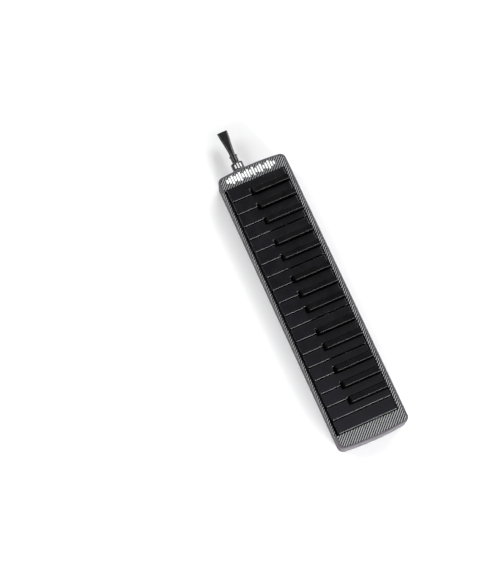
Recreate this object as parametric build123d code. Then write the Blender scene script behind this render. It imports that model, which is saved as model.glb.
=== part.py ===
from build123d import *

import os

# Thirty-two-key melodica: a reed keyboard blown through a mouthpiece at its low end.
# Millimetres. +X runs towards the high notes, -Y towards the player, +Z up. The origin
# is under the middle of the bounding box, on the plane that the rubber feet stand on.

# ------------------------------------------------------------------ driving dimensions
BODY_LENGTH = 438.0
BODY_DEPTH = 107.0
MOUTHPIECE_REACH = 66.0
END_BOW = 3.3
CORNER_RADIUS = 9.0

NATURALS = "FGABCDEFGABCDEFGABC"
FIRST_OCTAVE = 3
NATURAL_PITCH = 20.5
# A sharp stands above the right edge of each of these naturals, shifted by this much.
SHARP_SHIFT = {"F": -3.5, "G": 0.0, "A": 3.5, "C": -1.65, "D": 1.65}

# Heights above the table
CASE_BOTTOM = 2.0
PARTING = 20.0
CASE_TOP = 38.0
FRONT_RAIL_TOP = 35.4
NATURAL_TOP = 40.5
SHARP_TOP = 49.0

# ------------------------------------------------------------------ clearances and screws
CUT = 1.0
FIT = 0.05
SCREW_SHANK = 1.2
SCREW_PILOT = 1.25
SCREW_CLEAR = 1.5
HEAD_RADIUS = 2.4
HEAD_HEIGHT = 1.6
HEAD_CROSS = (2.8, 0.6, 0.8)

# ------------------------------------------------------------------ case
WALL = 2.2
FLOOR = 2.4
LOW_PANEL = 23.3
WINDOW_MARGIN = 1.0
WINDOW_FRONT = -50.0
WINDOW_REAR = 45.3
TOP_EDGE_RADIUS = 2.4
GROOVE_INSET = 2.6
GROOVE_WIDTH = 0.6
GROOVE_DEPTH = 0.5
RAIL_EDGE_RADIUS = 1.2
RAIL_SPLICE = FRONT_RAIL_TOP - 3.0
BOTTOM_EDGE_RADIUS = 4.0
LIP_HEIGHT = 1.6
LIP_THICKNESS = 1.0
SEAM_HEIGHT = 0.4
SEAM_DEPTH = 0.3
CORNER_BOSS = 3.6
CORNER_BOSS_X = 10.5
CORNER_BOSS_Y = 42.0
BACK_BOSS = 2.7
BACK_BOSS_INSET = 3.0
# Distances from the low end of the case
BACK_BOSS_STEPS = (67.0, 162.0, 257.0, 352.0)
CASE_SCREW_SEAT = 7.0
CASE_SCREW_LENGTH = 20.0
FOOT_RADIUS = 6.0
FOOT_RECESS = 0.6
FOOT_EDGE_RADIUS = 0.7
FOOT_X = 30.0
FOOT_Y = 38.0

TOTAL_LENGTH = MOUTHPIECE_REACH + BODY_LENGTH
LOW_END = MOUTHPIECE_REACH - TOTAL_LENGTH / 2
HIGH_END = LOW_END + BODY_LENGTH
HALF_DEPTH = BODY_DEPTH / 2
WINDOW_LOW = LOW_END + LOW_PANEL
KEYS_LOW = WINDOW_LOW + WINDOW_MARGIN
KEYS_HIGH = KEYS_LOW + NATURAL_PITCH * len(NATURALS)
WINDOW_HIGH = KEYS_HIGH + WINDOW_MARGIN
FLOOR_TOP = CASE_BOTTOM + FLOOR
CEILING = CASE_TOP - WALL

# ------------------------------------------------------------------ keys
KEY_GAP = 1.2
KEY_FRONT = -47.0
KEY_REAR = 43.2
KEY_SKIRT = 29.5
KEY_WALL = 1.6
KEY_ROOF = 2.2
NATURAL_CORNER = 1.0
NATURAL_EDGE = 1.2
SHARP_BASE_FRONT = -13.5
SHARP_TOP_FRONT = -10.8
SHARP_BASE_WIDTH = 9.0
SHARP_TOP_WIDTH = 8.3
SHARP_WALL = 1.4
SHARP_SLOT = 10.4
SHARP_EDGE = 1.1
SHARP_HOLLOW_TOP = 46.0
NOTCH_CLEARANCE = 1.8
NOTCH_FRONT = SHARP_BASE_FRONT - NOTCH_CLEARANCE

PIVOT_Y = 12.0
PIVOT_Z = 33.0
PIVOT_RADIUS = 1.5
ROD_OVERHANG = 3.0

PALLET_Y = 34.0
PALLET_LENGTH = 14.0
FOOT_BOTTOM = 27.0
FOOT_TOP = 31.0
FOOT_MARGIN = 1.0
PAD_LIFT = 0.05
NATURAL_PAD_WIDTH = 8.4
SHARP_PAD_WIDTH = 7.2

# ------------------------------------------------------------------ pivot rail and springs
RAIL_THICKNESS = 2.0
RAIL_FRONT = 7.0
RAIL_REAR = 21.0
BRACKET_THICKNESS = 2.0
BRACKET_RADIUS = 2.5
BRACKET_SHIFT = 2.7
BRACKET_KEYS = "cegb"
END_BRACKET_GAP = 1.6
RAIL_SCREW_Y = RAIL_REAR - 2.6
RAIL_SCREW_STEPS = (0.45, 3.5, 6.5, 9.5, 12.5, 15.5, 18.55)
SPRING_WIRE = 0.22
SPRING_CLEARANCE = 0.15
SPRING_SLEEVE = 0.6
SPRING_LENGTH = 2.0
SPRING_SHIFT = -1.4

# ------------------------------------------------------------------ wind chest
CHEST_LOW = LOW_END + 18.0
CHEST_HIGH = LOW_END + 418.0
CHEST_FRONT = 6.0
CHEST_REAR = 45.4
CHEST_TOP = 24.0
CHEST_DECK = 2.5
CHEST_WALL = 2.4
CHEST_SKIRT = 9.4
GASKET_THICKNESS = 0.4
LID_THICKNESS = 1.6
PORT_LENGTH = 9.0
PORT_WIDTH = 4.0
POCKET_DEPTH = 0.9
EAR_X = [LOW_END + step for step in (37.0, 73.0, 301.0, 337.0, 402.0)]
EAR_Y = 3.4
EAR_RADIUS = 3.2
EAR_HEIGHT = 7.0
POST_X = [LOW_END + step for step in (27.0, 92.0, 157.0, 222.0, 287.0, 352.0, 409.0)]
POST_Y = 41.6
POST_RADIUS = 2.3
SUPPORT_X = [LOW_END + step for step in (52.0, 127.0, 187.0, 247.0, 322.0, 387.0)]
SUPPORT_THICKNESS = 1.6
CHEST_BOTTOM_DECK = CHEST_TOP - CHEST_DECK
LID_TOP = CHEST_SKIRT - GASKET_THICKNESS
LID_BOTTOM = LID_TOP - LID_THICKNESS

# ------------------------------------------------------------------ reeds
LONGEST_REED = 27.0
SHORTEST_REED = 12.0
REED_WIDTH = 2.4
REED_THICKNESS = 0.25
REED_HEEL = 3.0
REED_SLOT_CLEARANCE = 0.1
REED_PLATE_THICKNESS = 1.0
REED_PLATE_MARGIN = 5.0
REED_PLATE_Y = (8.8, 39.2)
RIVET_RADIUS = 0.6
RIVET_HEAD_RADIUS = 0.95
RIVET_HEAD_HEIGHT = 0.4
REED_SCREW_Y = (13.0, 36.0)
REED_SCREW_DEPTH = 1.8
REED_PLATE_BOTTOM = CHEST_BOTTOM_DECK - REED_PLATE_THICKNESS
REED_BOTTOM = REED_PLATE_BOTTOM - REED_THICKNESS

# ------------------------------------------------------------------ felt under the keys
SHELF_FRONT = -49.6
SHELF_REAR = -36.0
SHELF_TOP = 21.6
SHELF_THICKNESS = 1.8
SHELF_END_GAP = 2.0
FELT_THICKNESS = 2.5
FELT_MARGIN = 1.0

# ------------------------------------------------------------------ mouthpiece and its socket
MOUTHPIECE_Y = -15.0
MOUTHPIECE_Z = 23.0
SPIGOT_RADIUS = 6.5
SPIGOT_LENGTH = 10.0
SOCKET_BORE = 6.9
SOCKET_RADIUS = 8.4
SOCKET_LENGTH = 11.0
SOCKET_FLANGE = 10.0
RING_WIRE = 0.9
RING_GROOVE_WIDTH = 2.0
RING_PLACE = 5.0
COLLAR_RADIUS = 9.0
COLLAR_LENGTH = 13.0
COLLAR_STANDOFF = 0.2
COLLAR_FLUTES = 14
FLUTE_RADIUS = 0.9
AIRWAY_RADIUS = 2.6
# Round stages beyond the collar: (from, to, radius), measured out from the case.
NECK_STAGES = [(13.2, 16.2, 4.3), (16.2, 24.5, 5.3), (24.5, 25.7, 6.0)]
# Flat blade beyond the neck: (distance from the case, width, height).
BLADE_SECTIONS = [(25.7, 8.4, 7.6), (38.7, 10.0, 6.8), (51.0, 13.0, 5.8), (66.0, 16.0, 4.6)]
AIR_SLOT_WIDTH = 11.0
AIR_SLOT_HEIGHT = 2.0

# ------------------------------------------------------------------ air duct and drain
DUCT_LOW = LOW_END + 4.2
DUCT_WALL = 1.8
DUCT_Y = (-26.0, 30.0)
DUCT_Z = (11.5, 33.5)
OUTLET_Y = (12.0, 27.0)
OUTLET_Z = (13.5, 20.3)
DRAIN_Y = -20.0
DRAIN_Z = 17.0
DRAIN_HOUSING_LENGTH = 8.5
DRAIN_HOUSING_Y = (-28.0, 30.0)
DRAIN_HOUSING_Z = (11.5, 22.3)
DRAIN_OUTLET_RADIUS = 2.4
BUTTON_RADIUS = 4.5
BUTTON_FLANGE_RADIUS = 5.6
BUTTON_FLANGE = (HIGH_END - 4.5, HIGH_END - 3.3)
STEM_RADIUS = 1.3
SEAL_RADIUS = 3.4
SEAL_THICKNESS = 1.4
STEM_CAP_RADIUS = 2.6
STEM_CAP_THICKNESS = 1.0
DRAIN_SPRING_RADIUS = 3.3
DRAIN_SPRING_WIRE = 0.3
DRAIN_SPRING_TURNS = 4
DRAIN_WALL = CHEST_HIGH + DRAIN_HOUSING_LENGTH

# ------------------------------------------------------------------ hand strap
STRAP_HALF_LENGTH = 92.0
STRAP_WIDTH = 28.0
STRAP_THICKNESS = 1.4
RECESS_HALF_LENGTH = 96.0
RECESS_WIDTH = 32.0
RECESS_CEILING = 5.6
RECESS_SHELL = 1.6
RECESS_CORNER = 5.0
STRAP_SCREW_X = 85.0
STRAP_BOSS_RADIUS = 3.0
STRAP_BOSS_TOP = 12.0
CLAMP_LENGTH = 11.0
CLAMP_THICKNESS = 1.2
STRAP_TOP = RECESS_CEILING - FIT
CLAMP_TOP = STRAP_TOP - STRAP_THICKNESS


# ------------------------------------------------------------------ shape helpers
def block(x, y, z):
    """Box that fills the (low, high) spans x, y and z."""
    spans = (x, y, z)
    sizes = [high - low for low, high in spans]
    middles = [(low + high) / 2 for low, high in spans]
    return Pos(*middles) * Box(*sizes)


def rod_x(x, y, z, radius):
    """Cylinder along X over the (low, high) span x."""
    low, high = x
    return Pos((low + high) / 2, y, z) * Rot(0, 90, 0) * Cylinder(radius, high - low)


def rod_z(x, y, z, radius):
    """Upright cylinder over the (low, high) span z."""
    low, high = z
    return Pos(x, y, (low + high) / 2) * Cylinder(radius, high - low)


def around(middle, half):
    """The (low, high) span that reaches half to each side of middle."""
    return middle - half, middle + half


def group(shapes):
    """Several separate solids as one shape."""
    return Compound(children=[solid for shape in shapes for solid in shape.solids()])


def screw(x, y, seat, length):
    """Cross-head screw that points up, with the underside of its head at the height seat."""
    head = rod_z(x, y, (seat - HEAD_HEIGHT, seat), HEAD_RADIUS)
    head = chamfer(head.faces().sort_by(Axis.Z)[0].edges(), 0.4)
    cross_length, cross_width, cross_depth = HEAD_CROSS
    cross_z = (seat - HEAD_HEIGHT - CUT, seat - HEAD_HEIGHT + cross_depth)
    for half_x, half_y in ((cross_length / 2, cross_width / 2), (cross_width / 2, cross_length / 2)):
        head -= block(around(x, half_x), around(y, half_y), cross_z)
    return head + rod_z(x, y, (seat, seat + length), SCREW_SHANK)


# ------------------------------------------------------------------ the case
def case_plan(inset):
    """The case seen from above, drawn in by inset: straight sides and bowed ends."""
    side = HALF_DEPTH - inset
    low = LOW_END + inset
    high = HIGH_END - inset
    plan = make_face([
        Line((low + END_BOW, -side), (high - END_BOW, -side)),
        ThreePointArc((high - END_BOW, -side), (high, 0), (high - END_BOW, side)),
        Line((high - END_BOW, side), (low + END_BOW, side)),
        ThreePointArc((low + END_BOW, side), (low, 0), (low + END_BOW, -side)),
    ])
    return fillet(plan.vertices(), CORNER_RADIUS - inset)


def case_prism(z, inset=0.0):
    """The case plan, drawn in by inset, over the (low, high) span z."""
    low, high = z
    return Pos(0, 0, low) * extrude(case_plan(inset), high - low)


def case_bosses():
    """Case screws as (x, y, boss radius): one in each corner and a row along the back."""
    back_y = HALF_DEPTH - WALL - BACK_BOSS_INSET
    corners = [
        (x, y, CORNER_BOSS)
        for x in (LOW_END + CORNER_BOSS_X, HIGH_END - CORNER_BOSS_X)
        for y in (-CORNER_BOSS_Y, CORNER_BOSS_Y)
    ]
    return corners + [(LOW_END + step, back_y, BACK_BOSS) for step in BACK_BOSS_STEPS]


def end_wall_holes():
    """Holes for the mouthpiece socket in the low end and the drain button in the high end."""
    socket = rod_x((LOW_END - CUT, DUCT_LOW), MOUTHPIECE_Y, MOUTHPIECE_Z, SOCKET_RADIUS + FIT)
    button = rod_x((BUTTON_FLANGE[1], HIGH_END + CUT), DRAIN_Y, DRAIN_Z, BUTTON_RADIUS + FIT)
    return [socket, button]


def make_top_cover():
    """Upper shell: end panels, rails around the keyboard window, and screw bosses."""
    shell = case_prism((PARTING, CASE_TOP))
    shell = fillet(shell.faces().sort_by(Axis.Z)[-1].edges(), TOP_EDGE_RADIUS)
    shell -= case_prism((PARTING - CUT, CEILING), WALL)

    # A fine groove frames the flat top inside the rounded rim.
    groove_z = (CASE_TOP - GROOVE_DEPTH, CASE_TOP + CUT)
    shell -= case_prism(groove_z, GROOVE_INSET) - case_prism(groove_z, GROOVE_INSET + GROOVE_WIDTH)

    window_x = (WINDOW_LOW, WINDOW_HIGH)
    shell -= block(window_x, (WINDOW_FRONT, WINDOW_REAR), (PARTING, CASE_TOP + CUT))

    # The front rail lies lower than the end panels, so that fingers clear it.
    rail_y = (-HALF_DEPTH, WINDOW_FRONT)
    shell -= block(window_x, (-HALF_DEPTH - CUT, WINDOW_FRONT + CUT), (RAIL_SPLICE, CASE_TOP + CUT))
    rail = block(window_x, rail_y, (RAIL_SPLICE, FRONT_RAIL_TOP))
    rail_edges = [edge for edge in rail.edges().filter_by(Axis.X) if edge.center().Z > RAIL_SPLICE + CUT]
    shell += fillet(rail_edges, RAIL_EDGE_RADIUS)

    # A fine seam shows where the two shells meet.
    seam_z = (PARTING - CUT, PARTING + SEAM_HEIGHT)
    shell -= case_prism(seam_z, -CUT) - case_prism(seam_z, SEAM_DEPTH)

    # A step inside the lower edge takes the lower shell's lip.
    step_z = (PARTING - CUT, PARTING + LIP_HEIGHT + 0.2)
    shell -= case_prism(step_z, WALL - LIP_THICKNESS - FIT)
    for x, y, radius in case_bosses():
        shell += rod_z(x, y, (PARTING, CEILING + 0.2), radius)
        shell -= rod_z(x, y, (PARTING - CUT, PARTING + 11), SCREW_PILOT)
    return shell - end_wall_holes()


def make_bottom_case():
    """Lower shell: floor, strap recess, felt shelf, chest supports and screw bosses."""
    shell = case_prism((CASE_BOTTOM, PARTING))
    shell = fillet(shell.faces().sort_by(Axis.Z)[0].edges(), BOTTOM_EDGE_RADIUS)
    shell -= case_prism((FLOOR_TOP, PARTING + CUT), WALL)
    lip = case_prism((PARTING - CUT, PARTING + LIP_HEIGHT), WALL - LIP_THICKNESS)
    shell += lip - case_prism((PARTING - 2 * CUT, PARTING + LIP_HEIGHT + CUT), WALL)

    # The floor steps up over the strap, which lies in a recess in the underside.
    shell += block(
        around(0, RECESS_HALF_LENGTH + RECESS_SHELL),
        around(0, RECESS_WIDTH / 2 + RECESS_SHELL),
        (CASE_BOTTOM + FLOOR / 2, RECESS_CEILING + RECESS_SHELL),
    )
    for x in (-STRAP_SCREW_X, STRAP_SCREW_X):
        shell += rod_z(x, 0, (RECESS_CEILING, STRAP_BOSS_TOP), STRAP_BOSS_RADIUS)
        shell -= rod_z(x, 0, (CASE_BOTTOM, STRAP_BOSS_TOP - RECESS_SHELL), SCREW_PILOT)
    recess = block(
        around(0, RECESS_HALF_LENGTH),
        around(0, RECESS_WIDTH / 2),
        (CASE_BOTTOM - CUT, RECESS_CEILING),
    )
    shell -= fillet(recess.edges().filter_by(Axis.Z), RECESS_CORNER)

    # Shelf behind the front wall for the felt under the key fronts.
    shelf_x = (KEYS_LOW + SHELF_END_GAP, KEYS_HIGH - SHELF_END_GAP)
    shell += block(shelf_x, (SHELF_FRONT, SHELF_REAR), (SHELF_TOP - SHELF_THICKNESS, SHELF_TOP))
    for wall_y in (SHELF_FRONT, SHELF_REAR - SHELF_THICKNESS):
        shell += block(shelf_x, (wall_y, wall_y + SHELF_THICKNESS), (FLOOR_TOP - CUT, SHELF_TOP))

    # Ribs and hollow pillars that hold the wind chest up off the floor.
    rib_y = (RECESS_WIDTH / 2 + RECESS_SHELL, CHEST_REAR - 2)
    for x in SUPPORT_X:
        shell += block(around(x, SUPPORT_THICKNESS / 2), rib_y, (FLOOR_TOP - CUT, LID_BOTTOM))
    for x in EAR_X:
        shell += rod_z(x, EAR_Y, (FLOOR_TOP - CUT, LID_BOTTOM), EAR_RADIUS)
        shell -= screw_well(x, EAR_Y, FLOOR_TOP, LID_BOTTOM)
    for x, y, radius in case_bosses():
        shell += rod_z(x, y, (FLOOR_TOP - CUT, PARTING), radius)
        shell -= screw_well(x, y, CASE_SCREW_SEAT, PARTING)
    for x, y in foot_places():
        shell -= rod_z(x, y, (CASE_BOTTOM - CUT, CASE_BOTTOM + FOOT_RECESS), FOOT_RADIUS)
    return shell - end_wall_holes()


def screw_well(x, y, seat, top):
    """Hole for a screw from below: wide up to its head's seat, then clear to the top."""
    wide = rod_z(x, y, (CASE_BOTTOM - CUT, seat), HEAD_RADIUS + 0.1)
    return wide + rod_z(x, y, (seat - CUT, top + CUT), SCREW_CLEAR)


def foot_places():
    """The four rubber feet, in from the corners of the case."""
    return [(x, y) for x in (LOW_END + FOOT_X, HIGH_END - FOOT_X) for y in (-FOOT_Y, FOOT_Y)]


def make_rubber_feet():
    """Round feet with a softened lower edge, set in shallow recesses."""
    feet = []
    for x, y in foot_places():
        foot = rod_z(x, y, (0, CASE_BOTTOM + FOOT_RECESS), FOOT_RADIUS - FIT)
        feet.append(fillet(foot.faces().sort_by(Axis.Z)[0].edges(), FOOT_EDGE_RADIUS))
    return group(feet)


def make_case_screws():
    """The eight screws that close the case."""
    return group([screw(x, y, CASE_SCREW_SEAT, CASE_SCREW_LENGTH) for x, y, _ in case_bosses()])


# ------------------------------------------------------------------ the keyboard
def key_layout():
    """Every key from low to high: (name, is sharp, low x, high x, rear low x, rear high x).

    A natural is narrower at the rear, where a sharp stands beside it.
    """
    edges = [KEYS_LOW + NATURAL_PITCH * i for i in range(len(NATURALS) + 1)]
    sharps = {
        i: edges[i + 1] + SHARP_SHIFT[letter]
        for i, letter in enumerate(NATURALS[:-1])
        if letter in SHARP_SHIFT
    }
    keys = []
    octave = FIRST_OCTAVE
    for i, letter in enumerate(NATURALS):
        if letter == "C":
            octave += 1
        low = edges[i] + KEY_GAP / 2
        high = edges[i + 1] - KEY_GAP / 2
        rear_low = sharps[i - 1] + SHARP_SLOT / 2 if i - 1 in sharps else low
        rear_high = sharps[i] - SHARP_SLOT / 2 if i in sharps else high
        keys.append((f"key_{letter.lower()}{octave}", False, low, high, rear_low, rear_high))
        if i in sharps:
            low, high = around(sharps[i], SHARP_BASE_WIDTH / 2)
            keys.append((f"key_{letter.lower()}_sharp_{octave}", True, low, high, low, high))
    return keys


def rear_centre(key):
    """Middle of the part of a key that passes over the wind chest."""
    return (key[4] + key[5]) / 2


def natural_plan(low, high, rear_low, rear_high, inset=0.0):
    """A natural seen from above: a wide front, and a rear part between the sharps."""
    step = NOTCH_FRONT - inset
    points = [(low + inset, KEY_FRONT + inset), (high - inset, KEY_FRONT + inset)]
    if rear_high < high:
        points += [(high - inset, step), (rear_high - inset, step)]
    points += [(rear_high - inset, KEY_REAR - inset), (rear_low + inset, KEY_REAR - inset)]
    if rear_low > low:
        points += [(rear_low + inset, step), (low + inset, step)]
    return make_face(Polyline(*points, close=True))


def pivot_bore(low, high):
    """The hole that lets a key turn on the pivot rod."""
    return rod_x((low - CUT, high + CUT), PIVOT_Y, PIVOT_Z, PIVOT_RADIUS + FIT)


def pallet(centre, width):
    """Rubber pad that closes a key's port in the chest deck."""
    y = around(PALLET_Y, PALLET_LENGTH / 2)
    return block(around(centre, width / 2), y, (CHEST_TOP + PAD_LIFT, FOOT_BOTTOM))


def pallet_foot(low, high):
    """Plate across a key's side walls that carries the pallet."""
    y = around(PALLET_Y, PALLET_LENGTH / 2 + FOOT_MARGIN)
    return block((low + 0.2, high - 0.2), y, (FOOT_BOTTOM, FOOT_TOP))


def make_natural(low, high, rear_low, rear_high):
    """A natural key: a hollow lever with rounded top edges, and its pallet."""
    height = NATURAL_TOP - KEY_SKIRT
    lever = Pos(0, 0, KEY_SKIRT) * extrude(natural_plan(low, high, rear_low, rear_high), height)
    front_corners = [
        edge for edge in lever.edges().filter_by(Axis.Z) if edge.center().Y < KEY_FRONT + 0.1
    ]
    lever = fillet(front_corners, NATURAL_CORNER)
    lever = fillet(lever.faces().sort_by(Axis.Z)[-1].edges(), NATURAL_EDGE)
    hollow = natural_plan(low, high, rear_low, rear_high, KEY_WALL)
    lever -= Pos(0, 0, KEY_SKIRT - CUT) * extrude(hollow, height + CUT - KEY_ROOF)
    lever += pallet_foot(rear_low, rear_high)
    lever -= pivot_bore(low, high)
    return group([lever, pallet((rear_low + rear_high) / 2, NATURAL_PAD_WIDTH)])


def make_sharp(low, high):
    """A sharp key: a narrow lever with a tall, tapering top and a sloping nose, and its pallet."""
    half = SHARP_BASE_WIDTH / 2
    top_half = SHARP_TOP_WIDTH / 2
    side_view = make_face(Polyline(
        (SHARP_BASE_FRONT, KEY_SKIRT),
        (KEY_REAR, KEY_SKIRT),
        (KEY_REAR, SHARP_TOP),
        (SHARP_TOP_FRONT, SHARP_TOP),
        (SHARP_BASE_FRONT, NATURAL_TOP),
        close=True,
    ))
    front_view = make_face(Polyline(
        (-half, KEY_SKIRT),
        (half, KEY_SKIRT),
        (half, NATURAL_TOP),
        (top_half, SHARP_TOP),
        (-top_half, SHARP_TOP),
        (-half, NATURAL_TOP),
        close=True,
    ))
    lever = extrude(Plane.YZ * side_view, half, both=True)
    lever &= extrude(Plane.XZ * front_view, 2 * KEY_REAR, both=True)
    upper_edges = [
        edge
        for edge in lever.edges()
        if edge.center().Z > NATURAL_TOP + CUT and edge.center().Y < KEY_REAR - CUT
    ]
    lever = fillet(upper_edges, SHARP_EDGE)

    inner = around(0, half - SHARP_WALL)
    hollow_y = (SHARP_BASE_FRONT + 4.5, KEY_REAR - KEY_WALL)
    lever -= block(inner, hollow_y, (KEY_SKIRT - CUT, SHARP_HOLLOW_TOP))
    spring_rib_y = (PIVOT_Y - 8, PIVOT_Y - 4)
    lever += block(inner, spring_rib_y, (NATURAL_TOP - KEY_ROOF, SHARP_HOLLOW_TOP))
    centre = (low + high) / 2
    lever = Pos(centre, 0, 0) * lever
    lever += pallet_foot(low, high)
    lever -= pivot_bore(low, high)
    return group([lever, pallet(centre, SHARP_PAD_WIDTH)])


def make_key(key):
    """The key of one entry of the layout."""
    _, is_sharp, low, high, rear_low, rear_high = key
    return make_sharp(low, high) if is_sharp else make_natural(low, high, rear_low, rear_high)


def bracket_places(keys):
    """Brackets for the pivot rod stand beyond both ends and inside some of the naturals."""
    inside = [
        rear_centre(key) + BRACKET_SHIFT
        for key in keys
        if not key[1] and key[0][len("key_")] in BRACKET_KEYS
    ]
    return [KEYS_LOW - END_BRACKET_GAP] + inside + [KEYS_HIGH + END_BRACKET_GAP]


def rail_screw_places():
    """Screws along the rear edge of the key rail."""
    return [KEYS_LOW + NATURAL_PITCH * step for step in RAIL_SCREW_STEPS]


def make_key_rail(keys):
    """Beam on the chest deck, with the brackets that hold the pivot rod."""
    ends = (KEYS_LOW - ROD_OVERHANG, KEYS_HIGH + ROD_OVERHANG)
    rail_top = CHEST_TOP + RAIL_THICKNESS
    rail = block(ends, (RAIL_FRONT, RAIL_REAR), (CHEST_TOP, rail_top))
    for x in bracket_places(keys):
        span = around(x, BRACKET_THICKNESS / 2)
        rail += block(span, around(PIVOT_Y, BRACKET_RADIUS), (rail_top - CUT, PIVOT_Z))
        rail += rod_x(span, PIVOT_Y, PIVOT_Z, BRACKET_RADIUS)
    rail -= rod_x((ends[0] - CUT, ends[1] + CUT), PIVOT_Y, PIVOT_Z, PIVOT_RADIUS + FIT)
    for x in rail_screw_places():
        rail -= rod_z(x, RAIL_SCREW_Y, (CHEST_TOP - CUT, rail_top + CUT), SCREW_CLEAR)
    return rail


def make_key_rod():
    """Steel rod that all the keys turn on."""
    return rod_x((KEYS_LOW - ROD_OVERHANG, KEYS_HIGH + ROD_OVERHANG), PIVOT_Y, PIVOT_Z, PIVOT_RADIUS)


def wire(start, end):
    """A straight piece of spring wire."""
    path = Line(start, end)
    return sweep(Plane(origin=path @ 0, z_dir=path % 0) * Circle(SPRING_WIRE), path)


def make_key_spring(x):
    """Torsion spring around the pivot rod: close turns as one sleeve, a leg to the key, one to the rail."""
    inner = PIVOT_RADIUS + SPRING_CLEARANCE
    outer = inner + SPRING_SLEEVE
    middle = inner + SPRING_SLEEVE / 2
    reach = SPRING_LENGTH / 2 - 2 * SPRING_WIRE
    turns = rod_x(around(x, SPRING_LENGTH / 2), PIVOT_Y, PIVOT_Z, outer)
    turns -= rod_x(around(x, SPRING_LENGTH), PIVOT_Y, PIVOT_Z, inner)
    key_leg = wire(
        (x - reach, PIVOT_Y, PIVOT_Z + middle),
        (x - reach, PIVOT_Y - 5.5, PIVOT_Z + 4.3),
    )
    rail_leg = wire(
        (x + reach, PIVOT_Y + middle, PIVOT_Z),
        (x + reach, PIVOT_Y + 2.6, CHEST_TOP + RAIL_THICKNESS + 2 * SPRING_WIRE),
    )
    return turns + key_leg + rail_leg


def make_key_springs(keys):
    """One return spring inside each key, clear of the brackets."""
    return group([
        make_key_spring(rear_centre(key) + (0.0 if key[1] else SPRING_SHIFT)) for key in keys
    ])


def make_key_felt():
    """Felt strip that stops the key fronts."""
    return block(
        (KEYS_LOW + SHELF_END_GAP + FELT_MARGIN, KEYS_HIGH - SHELF_END_GAP - FELT_MARGIN),
        (SHELF_FRONT + FELT_MARGIN, SHELF_REAR - FELT_MARGIN),
        (SHELF_TOP, SHELF_TOP + FELT_THICKNESS),
    )


# ------------------------------------------------------------------ wind chest
def chest_inside(z):
    """The room inside the chest walls over the (low, high) span z."""
    x = (CHEST_LOW + CHEST_WALL, CHEST_HIGH - CHEST_WALL)
    return block(x, (CHEST_FRONT + CHEST_WALL, CHEST_REAR - CHEST_WALL), z)


def make_wind_chest(keys):
    """Air box under the key rears, open below, with a port and a reed pocket for each key."""
    chest = block((CHEST_LOW, CHEST_HIGH), (CHEST_FRONT, CHEST_REAR), (CHEST_SKIRT, CHEST_TOP))
    chest -= chest_inside((CHEST_SKIRT - CUT, CHEST_BOTTOM_DECK))
    for x in POST_X:
        chest += rod_z(x, POST_Y, (CHEST_SKIRT, CHEST_BOTTOM_DECK), POST_RADIUS)
    for x in EAR_X:
        chest += rod_z(x, EAR_Y, (CHEST_SKIRT, CHEST_SKIRT + EAR_HEIGHT), EAR_RADIUS)

    # Openings in the ends meet the air duct and the drain housing.
    cuts = [
        block(around(end, CHEST_WALL + CUT), OUTLET_Y, OUTLET_Z)
        for end in (CHEST_LOW, CHEST_HIGH)
    ]
    for index, key in enumerate(keys):
        across = around(rear_centre(key), PORT_WIDTH / 2)
        port_y = around(PALLET_Y, PORT_LENGTH / 2)
        cuts.append(block(across, port_y, (CHEST_BOTTOM_DECK - CUT, CHEST_TOP + CUT)))
        front, rear = reed_span(index, len(keys))
        pocket_z = (CHEST_BOTTOM_DECK - CUT, CHEST_BOTTOM_DECK + POCKET_DEPTH)
        cuts.append(block(across, (front - 0.8, rear + 0.8), pocket_z))
    for x, y in lid_screw_places():
        cuts.append(rod_z(x, y, (CHEST_SKIRT - CUT, CHEST_SKIRT + EAR_HEIGHT - CUT), SCREW_PILOT))
    for x in rail_screw_places():
        cuts.append(rod_z(x, RAIL_SCREW_Y, (CHEST_TOP - 1.6, CHEST_TOP + CUT), SCREW_PILOT))
    for x, y in reed_screw_places(keys):
        top = CHEST_BOTTOM_DECK + REED_SCREW_DEPTH
        cuts.append(rod_z(x, y, (CHEST_BOTTOM_DECK - CUT, top), SCREW_PILOT))
    return chest - cuts


def lid_screw_places():
    """Screws through the chest lid: ears in front and posts inside the rear wall."""
    return [(x, EAR_Y) for x in EAR_X] + [(x, POST_Y) for x in POST_X]


def make_chest_lid():
    """Flat plate that closes the wind chest from below."""
    z = (LID_BOTTOM, LID_TOP)
    lid = block((CHEST_LOW, CHEST_HIGH), (CHEST_FRONT, CHEST_REAR), z)
    for x in EAR_X:
        lid += rod_z(x, EAR_Y, z, EAR_RADIUS)
    for x, y in lid_screw_places():
        lid -= rod_z(x, y, (LID_BOTTOM - CUT, LID_TOP + CUT), SCREW_CLEAR)
    return lid


def make_chest_gasket():
    """Thin frame between the wind chest and its lid, with the posts and ears let through."""
    z = (LID_TOP, CHEST_SKIRT)
    gasket = block((CHEST_LOW, CHEST_HIGH), (CHEST_FRONT, CHEST_REAR), z)
    gasket -= chest_inside((LID_TOP - CUT, CHEST_SKIRT + CUT))
    for x in POST_X:
        gasket += rod_z(x, POST_Y, z, POST_RADIUS)
    for x in EAR_X:
        gasket += rod_z(x, EAR_Y, z, EAR_RADIUS)
    for x, y in lid_screw_places():
        gasket -= rod_z(x, y, (LID_TOP - CUT, CHEST_SKIRT + CUT), SCREW_CLEAR)
    return gasket


def make_chest_screws():
    """Ear screws come up through the case floor, the rest through the lid; rail screws point down."""
    through_case = [screw(x, EAR_Y, FLOOR_TOP, CHEST_SKIRT + 4 - FLOOR_TOP) for x in EAR_X]
    through_lid = [screw(x, POST_Y, LID_BOTTOM, LID_THICKNESS + 4) for x in POST_X]
    rail_top = CHEST_TOP + RAIL_THICKNESS
    rail_screws = [
        Pos(x, RAIL_SCREW_Y, rail_top) * Rot(180, 0, 0) * screw(0, 0, 0, RAIL_THICKNESS + 1.4)
        for x in rail_screw_places()
    ]
    return group(through_case + through_lid + rail_screws)


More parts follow.
